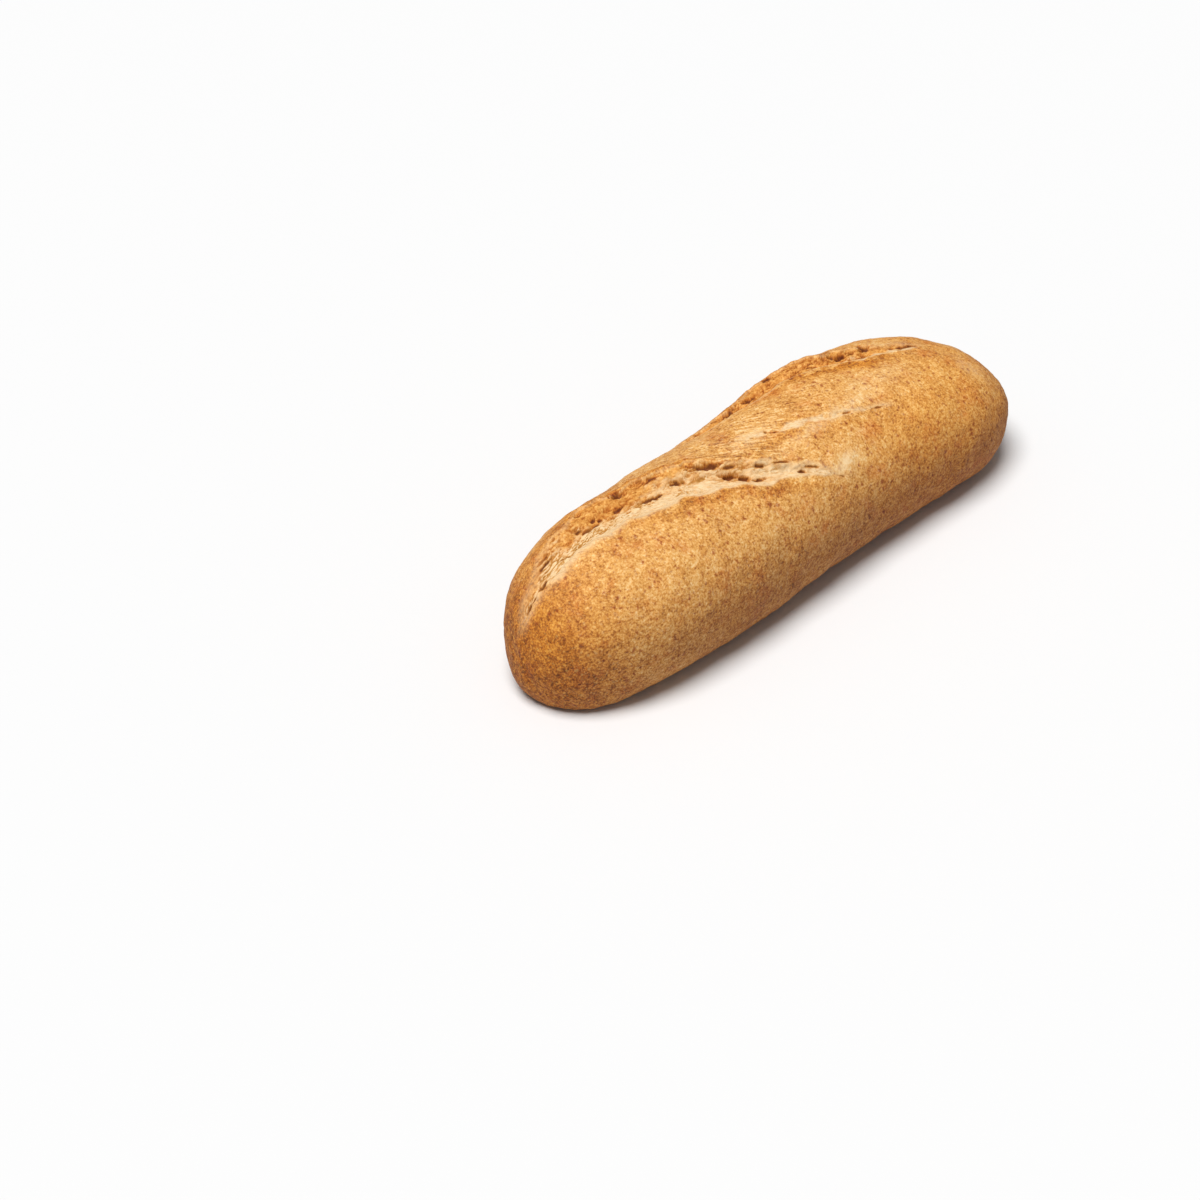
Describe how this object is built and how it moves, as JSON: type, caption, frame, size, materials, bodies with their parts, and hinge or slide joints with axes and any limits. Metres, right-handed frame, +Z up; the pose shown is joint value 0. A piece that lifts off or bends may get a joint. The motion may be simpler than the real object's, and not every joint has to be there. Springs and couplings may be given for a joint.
{
  "type": "wholemeal baguette",
  "caption": "Small wholemeal baguette with a bran-flecked crust, slanting blade cuts along its top and a flat base to rest on.",
  "frame": {"origin": "under the middle of the loaf, in the plane of its flat base", "axes": "+X along the loaf, +Y across it, +Z up from the flat base through the crest"},
  "size_m": [0.2222, 0.0692, 0.0543],
  "materials": {
    "crust": "matte golden-brown wholemeal bread crust with darker bran flecks and paler torn cuts"
  },
  "bodies": {
    "root": {"loaf": "crust"}
  },
  "joints": []
}
